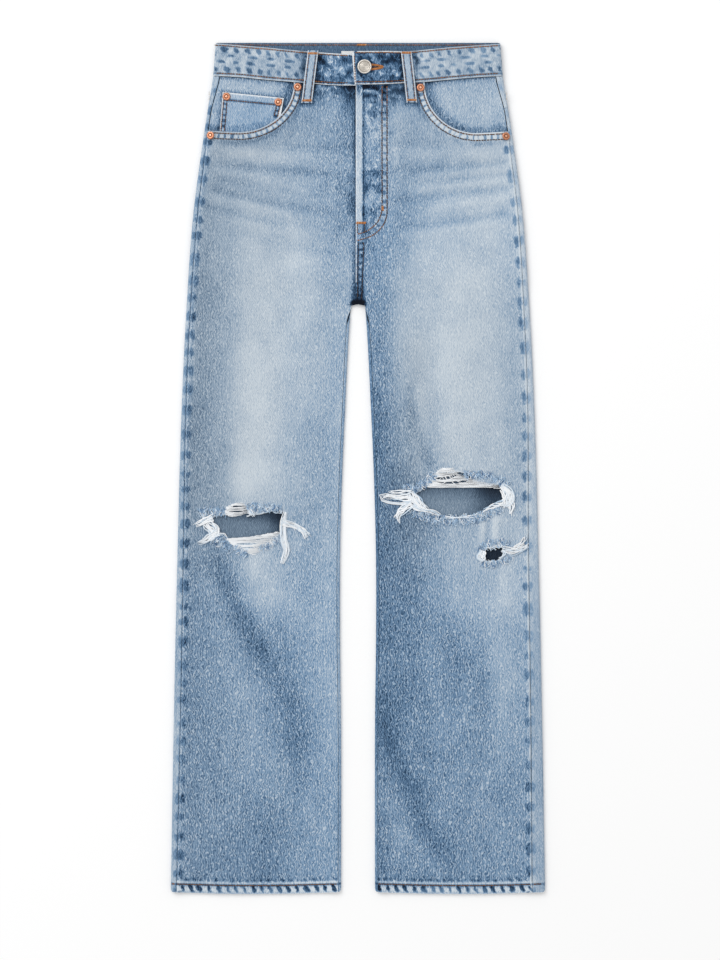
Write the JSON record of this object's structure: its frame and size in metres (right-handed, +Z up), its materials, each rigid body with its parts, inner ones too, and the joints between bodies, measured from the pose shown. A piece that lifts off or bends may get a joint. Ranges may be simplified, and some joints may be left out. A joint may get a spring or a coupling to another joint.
{
  "type": "ripped jeans",
  "caption": "High-waisted, wide-legged denim jeans laid flat, front up, with scooped pockets, a lapped fly and ripped knees.",
  "frame": {"origin": "on the surface that the jeans lie on, under the middle of their outline", "axes": "+Y runs from the hems up to the waist, +X to the wearer's left, and +Z up from the surface, out of the front"},
  "size_m": [0.4488, 1.02, 0.0141],
  "materials": {
    "denim": "light stone-washed blue denim with faded thighs, dark and pale puckers beside its seams, and white frayed yarns at the rips",
    "thread": "faded brown and orange sewing thread",
    "label": "blank white woven tape",
    "nickel": "worn satin nickel with plain rings",
    "copper": "worn copper"
  },
  "bodies": {
    "root": {"front_right": "denim", "front_left": "denim", "back_right": "denim", "back_left": "denim", "yoke_right": "denim", "yoke_left": "denim", "facing_right": "denim", "facing_left": "denim", "coin_pocket": "denim", "waistband": "denim", "loop_front_right": "denim", "loop_front_left": "denim", "loop_back_right": "denim", "loop_back_centre": "denim", "loop_back_left": "denim", "back_pocket_right": "denim", "back_pocket_left": "denim", "label": "label", "button": "nickel", "rivet_1": "copper", "rivet_2": "copper", "rivet_3": "copper", "rivet_4": "copper", "rivet_5": "copper", "rivet_6": "copper"}
  },
  "joints": []
}
